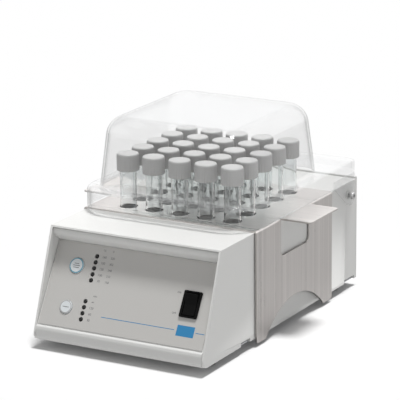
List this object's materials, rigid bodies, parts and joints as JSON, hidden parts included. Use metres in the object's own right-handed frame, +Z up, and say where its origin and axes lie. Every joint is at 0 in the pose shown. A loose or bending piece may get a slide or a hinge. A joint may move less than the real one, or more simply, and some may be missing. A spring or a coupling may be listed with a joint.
{
  "type": "dry block heater",
  "caption": "Bench-top block heater with a sloping control panel, a lift-out steel rack of capped glass vials and a hinged clear cover.",
  "frame": {"origin": "on the ground under the middle of the casing's plan", "axes": "+Z up, -Y towards the control panel, +X to the user's right"},
  "size_m": [0.2472, 0.3128, 0.1995],
  "materials": {
    "painted_sheet": "light grey fine-textured powder coat",
    "panel_print": "warm grey printed film",
    "brushed_steel": "vertical brushing",
    "zinc_sheet": "zinc-plated sheet",
    "screw_steel": "plain turned steel",
    "block_alloy": "milled",
    "button_white": "satin",
    "switch_black": "satin black",
    "lamp_dark": "dark unlit lamp windows",
    "board_green": "solder resist",
    "component_dark": "moulded",
    "transformer_tape": "taped winding",
    "clear_cover": "clear formed plastic sheet",
    "vial_glass": "clear tube glass",
    "cap_plastic": "light grey, finely ribbed",
    "foot_rubber": "moulded black rubber",
    "heater_silicone": "silicone mat",
    "mineral_wool": "pressed fibre",
    "nylon": "moulded nylon",
    "contact_brass": "plated blades",
    "lead_insulation": "flexible lead sleeves"
  },
  "bodies": {
    "casing": {"housing_shell": "painted_sheet", "front_fascia": "painted_sheet", "back_plate": "painted_sheet", "panel_overlay": "panel_print", "vial_rack": "brushed_steel", "bay_plate": "brushed_steel", "base_plate": "zinc_sheet", "tray_stand": "zinc_sheet", "inner_tray": "zinc_sheet", "heater_clamp": "zinc_sheet", "back_screw_high_left": "screw_steel", "back_screw_high_right": "screw_steel", "back_screw_low_left": "screw_steel", "back_screw_low_right": "screw_steel", "hinge_screw_left": "screw_steel", "hinge_screw_right": "screw_steel", "temperature_sensor": "screw_steel", "safety_thermostat": "screw_steel", "heating_block": "block_alloy", "power_switch_frame": "switch_black", "mains_inlet": "switch_black", "fuse_drawer": "switch_black", "lamp_bar_upper": "lamp_dark", "lamp_bar_lower": "lamp_dark", "control_board": "board_green", "power_board": "board_green", "key_switch_upper": "component_dark", "key_switch_lower": "component_dark", "solid_state_relay": "component_dark", "transformer": "transformer_tape", "vials_row_1": "vial_glass", "vials_row_2": "vial_glass", "vials_row_3": "vial_glass", "vials_row_4": "vial_glass", "vials_row_5": "vial_glass", "caps_row_1": "cap_plastic", "caps_row_2": "cap_plastic", "caps_row_3": "cap_plastic", "caps_row_4": "cap_plastic", "caps_row_5": "cap_plastic", "foot_front_left": "foot_rubber", "foot_front_right": "foot_rubber", "foot_rear_left": "foot_rubber", "foot_rear_right": "foot_rubber", "foil_heater": "heater_silicone", "insulation_wall": "mineral_wool", "insulation_base": "mineral_wool", "hinge_spacer_left": "nylon", "hinge_spacer_right": "nylon", "inlet_contacts": "contact_brass", "panel_cable": "lead_insulation", "heater_leads": "lead_insulation", "mains_leads": "lead_insulation"},
    "cover": {"clear_cover": "clear_cover"},
    "rocker": {"power_rocker": "switch_black"},
    "upper_button": {"button_upper": "button_white"},
    "lower_button": {"button_lower": "button_white"}
  },
  "joints": [
    {"name": "cover_hinge", "type": "hinge", "parent": "casing", "child": "cover", "pos_m": [0, 0.1345, 0.0978], "axis": [-1, 0, 0], "range_deg": [0, 95]},
    {"name": "rocker_tilt", "type": "hinge", "parent": "casing", "child": "rocker", "pos_m": [0.06475, -0.13136, 0.05762], "axis": [-1, 0, 0], "range_deg": [0, 12]},
    {"name": "upper_button_press", "type": "slide", "parent": "casing", "child": "upper_button", "axis": [0, 0.8594, -0.5113], "range_m": [0, 0.0008], "stiffness_N_per_m": 300},
    {"name": "lower_button_press", "type": "slide", "parent": "casing", "child": "lower_button", "axis": [0, 0.8594, -0.5113], "range_m": [0, 0.0008], "stiffness_N_per_m": 300}
  ]
}
